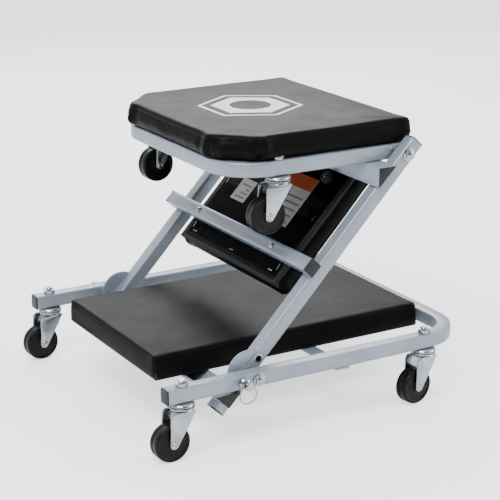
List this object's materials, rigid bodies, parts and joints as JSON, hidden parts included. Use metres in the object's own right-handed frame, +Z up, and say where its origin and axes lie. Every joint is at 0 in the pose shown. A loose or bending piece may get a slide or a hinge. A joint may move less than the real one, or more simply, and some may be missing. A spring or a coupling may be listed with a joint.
{
  "type": "mechanics creeper",
  "caption": "Folding creeper on swivel casters set up as a low shop seat: padded base, sloping middle and seat frames of square tube joined by hinge bolts.",
  "frame": {"origin": "on the floor, under the middle of the bounding box as the seat stands", "axes": "+X along the base rails towards the closed bend of the base frame, +Y across to the far side, +Z up"},
  "size_m": [0.4974, 0.4768, 0.3988],
  "materials": {
    "frame_paint": "satin",
    "black_vinyl": "satin",
    "board": "matte",
    "black_plastic": "satin",
    "rubber": "matte",
    "zinc": "bright",
    "wheel": "gloss"
  },
  "bodies": {
    "base_frame": {"base_board": "board", "base_cross_strap": "frame_paint", "base_pad": "black_vinyl", "base_rail": "frame_paint", "base_rail_plug_far": "black_plastic", "base_rail_plug_near": "black_plastic", "caster_mount_bend_far": "zinc", "caster_mount_bend_near": "zinc", "caster_mount_front_far": "zinc", "caster_mount_front_near": "zinc", "lower_hinge_bolt_far": "zinc", "lower_hinge_bolt_near": "zinc"},
    "middle_frame": {"board_bumper_far": "rubber", "board_bumper_near": "rubber", "cross_bar_plug_far": "black_plastic", "cross_bar_plug_near": "black_plastic", "lower_angle_bar": "frame_paint", "lower_angle_plug_far": "black_plastic", "lower_angle_plug_near": "black_plastic", "middle_board": "board", "middle_cross_bar": "frame_paint", "middle_pad": "black_vinyl", "middle_tube_far": "frame_paint", "middle_tube_near": "frame_paint", "middle_tube_plug_lower_far": "black_plastic", "middle_tube_plug_lower_near": "black_plastic", "middle_tube_plug_upper_far": "black_plastic", "middle_tube_plug_upper_near": "black_plastic", "upper_angle_bar": "frame_paint", "upper_angle_plug_far": "black_plastic", "upper_angle_plug_near": "black_plastic"},
    "fork_bend_far": {"caster_fork_bend_far": "zinc"},
    "fork_bend_near": {"caster_fork_bend_near": "zinc"},
    "fork_front_far": {"caster_fork_front_far": "zinc"},
    "fork_front_near": {"caster_fork_front_near": "zinc"},
    "fork_top_far": {"caster_fork_top_far": "zinc"},
    "fork_top_near": {"caster_fork_top_near": "zinc"},
    "top_frame": {"caster_mount_top_far": "zinc", "caster_mount_top_near": "zinc", "seat_board": "board", "seat_pad": "black_vinyl", "top_cross_strap_left": "frame_paint", "top_cross_strap_right": "frame_paint", "top_rail": "frame_paint", "top_rail_plug_far": "black_plastic", "top_rail_plug_near": "black_plastic", "upper_hinge_bolt_far": "zinc", "upper_hinge_bolt_near": "zinc"},
    "wheel_bend_far": {"caster_wheel_bend_far": "wheel"},
    "wheel_bend_near": {"caster_wheel_bend_near": "wheel"},
    "wheel_front_far": {"caster_wheel_front_far": "wheel"},
    "wheel_front_near": {"caster_wheel_front_near": "wheel"},
    "wheel_top_far": {"caster_wheel_top_far": "wheel"},
    "wheel_top_near": {"caster_wheel_top_near": "wheel"},
    "lock_pin_far": {"lock_pin_far": "zinc"},
    "lock_pin_near": {"lock_pin_near": "zinc"},
    "lock_ring_far": {"lock_ring_far": "zinc"},
    "lock_ring_near": {"lock_ring_near": "zinc"},
    "top_lock_pin_far": {"top_lock_pin_far": "zinc"},
    "top_lock_pin_near": {"top_lock_pin_near": "zinc"}
  },
  "joints": [
    {"name": "lower_fold", "type": "hinge", "parent": "base_frame", "child": "middle_frame", "pos_m": [-0.0962, 0, 0.0885], "axis": [0, -1, 0], "range_deg": [0, 133.5]},
    {"name": "upper_fold", "type": "hinge", "parent": "middle_frame", "child": "top_frame", "pos_m": [0.15436, 0, 0.35254], "axis": [0, -1, 0], "range_deg": [-133.5, 0]},
    {"name": "swivel_front_near", "type": "hinge", "parent": "base_frame", "child": "fork_front_near", "pos_m": [-0.2052, -0.21, 0.0785], "axis": [0, 0, 1], "continuous": true},
    {"name": "roll_front_near", "type": "hinge", "parent": "fork_front_near", "child": "wheel_front_near", "pos_m": [-0.22319, -0.21063, 0.0254], "axis": [0.0349, -0.9994, 0], "continuous": true},
    {"name": "swivel_front_far", "type": "hinge", "parent": "base_frame", "child": "fork_front_far", "pos_m": [-0.2052, 0.21, 0.0785], "axis": [0, 0, 1], "continuous": true},
    {"name": "roll_front_far", "type": "hinge", "parent": "fork_front_far", "child": "wheel_front_far", "pos_m": [-0.2231, 0.20812, 0.0254], "axis": [0.1045, -0.9945, 0], "continuous": true},
    {"name": "swivel_bend_near", "type": "hinge", "parent": "base_frame", "child": "fork_bend_near", "pos_m": [0.1768, -0.21, 0.0785], "axis": [0, 0, 1], "continuous": true},
    {"name": "roll_bend_near", "type": "hinge", "parent": "fork_bend_near", "child": "wheel_bend_near", "pos_m": [0.15898, -0.2125, 0.0254], "axis": [0.1392, -0.9903, 0], "continuous": true},
    {"name": "swivel_bend_far", "type": "hinge", "parent": "base_frame", "child": "fork_bend_far", "pos_m": [0.1768, 0.21, 0.0785], "axis": [0, 0, 1], "continuous": true},
    {"name": "roll_bend_far", "type": "hinge", "parent": "fork_bend_far", "child": "wheel_bend_far", "pos_m": [0.15884, 0.21126, 0.0254], "axis": [-0.0698, -0.9976, 0], "continuous": true},
    {"name": "swivel_top_near", "type": "hinge", "parent": "top_frame", "child": "fork_top_near", "pos_m": [-0.0317, -0.159, 0.34254], "axis": [0, 0, 1], "continuous": true},
    {"name": "roll_top_near", "type": "hinge", "parent": "fork_top_near", "child": "wheel_top_near", "pos_m": [-0.04967, -0.15806, 0.28944], "axis": [-0.0523, -0.9986, 0], "continuous": true},
    {"name": "swivel_top_far", "type": "hinge", "parent": "top_frame", "child": "fork_top_far", "pos_m": [-0.0317, 0.159, 0.34254], "axis": [0, 0, 1], "continuous": true},
    {"name": "roll_top_far", "type": "hinge", "parent": "fork_top_far", "child": "wheel_top_far", "pos_m": [-0.04966, 0.15774, 0.28944], "axis": [0.0698, -0.9976, 0], "continuous": true},
    {"name": "lock_pull_near", "type": "slide", "parent": "base_frame", "child": "lock_pin_near", "axis": [0, -1, 0], "range_m": [0, 0.01], "stiffness_N_per_m": 400, "springref_m": -0.004},
    {"name": "ring_swing_near", "type": "hinge", "parent": "lock_pin_near", "child": "lock_ring_near", "pos_m": [-0.1192, -0.232, 0.0885], "axis": [-1, 0, 0], "range_deg": [-15, 90]},
    {"name": "top_pin_push_near", "type": "slide", "parent": "top_frame", "child": "top_lock_pin_near", "axis": [0, 1, 0], "range_m": [0, 0.006], "stiffness_N_per_m": 400, "springref_m": -0.003},
    {"name": "lock_pull_far", "type": "slide", "parent": "base_frame", "child": "lock_pin_far", "axis": [0, 1, 0], "range_m": [0, 0.01], "stiffness_N_per_m": 400, "springref_m": -0.004},
    {"name": "ring_swing_far", "type": "hinge", "parent": "lock_pin_far", "child": "lock_ring_far", "pos_m": [-0.1192, 0.232, 0.0885], "axis": [1, 0, 0], "range_deg": [-15, 90]},
    {"name": "top_pin_push_far", "type": "slide", "parent": "top_frame", "child": "top_lock_pin_far", "axis": [0, -1, 0], "range_m": [0, 0.006], "stiffness_N_per_m": 400, "springref_m": -0.003}
  ]
}
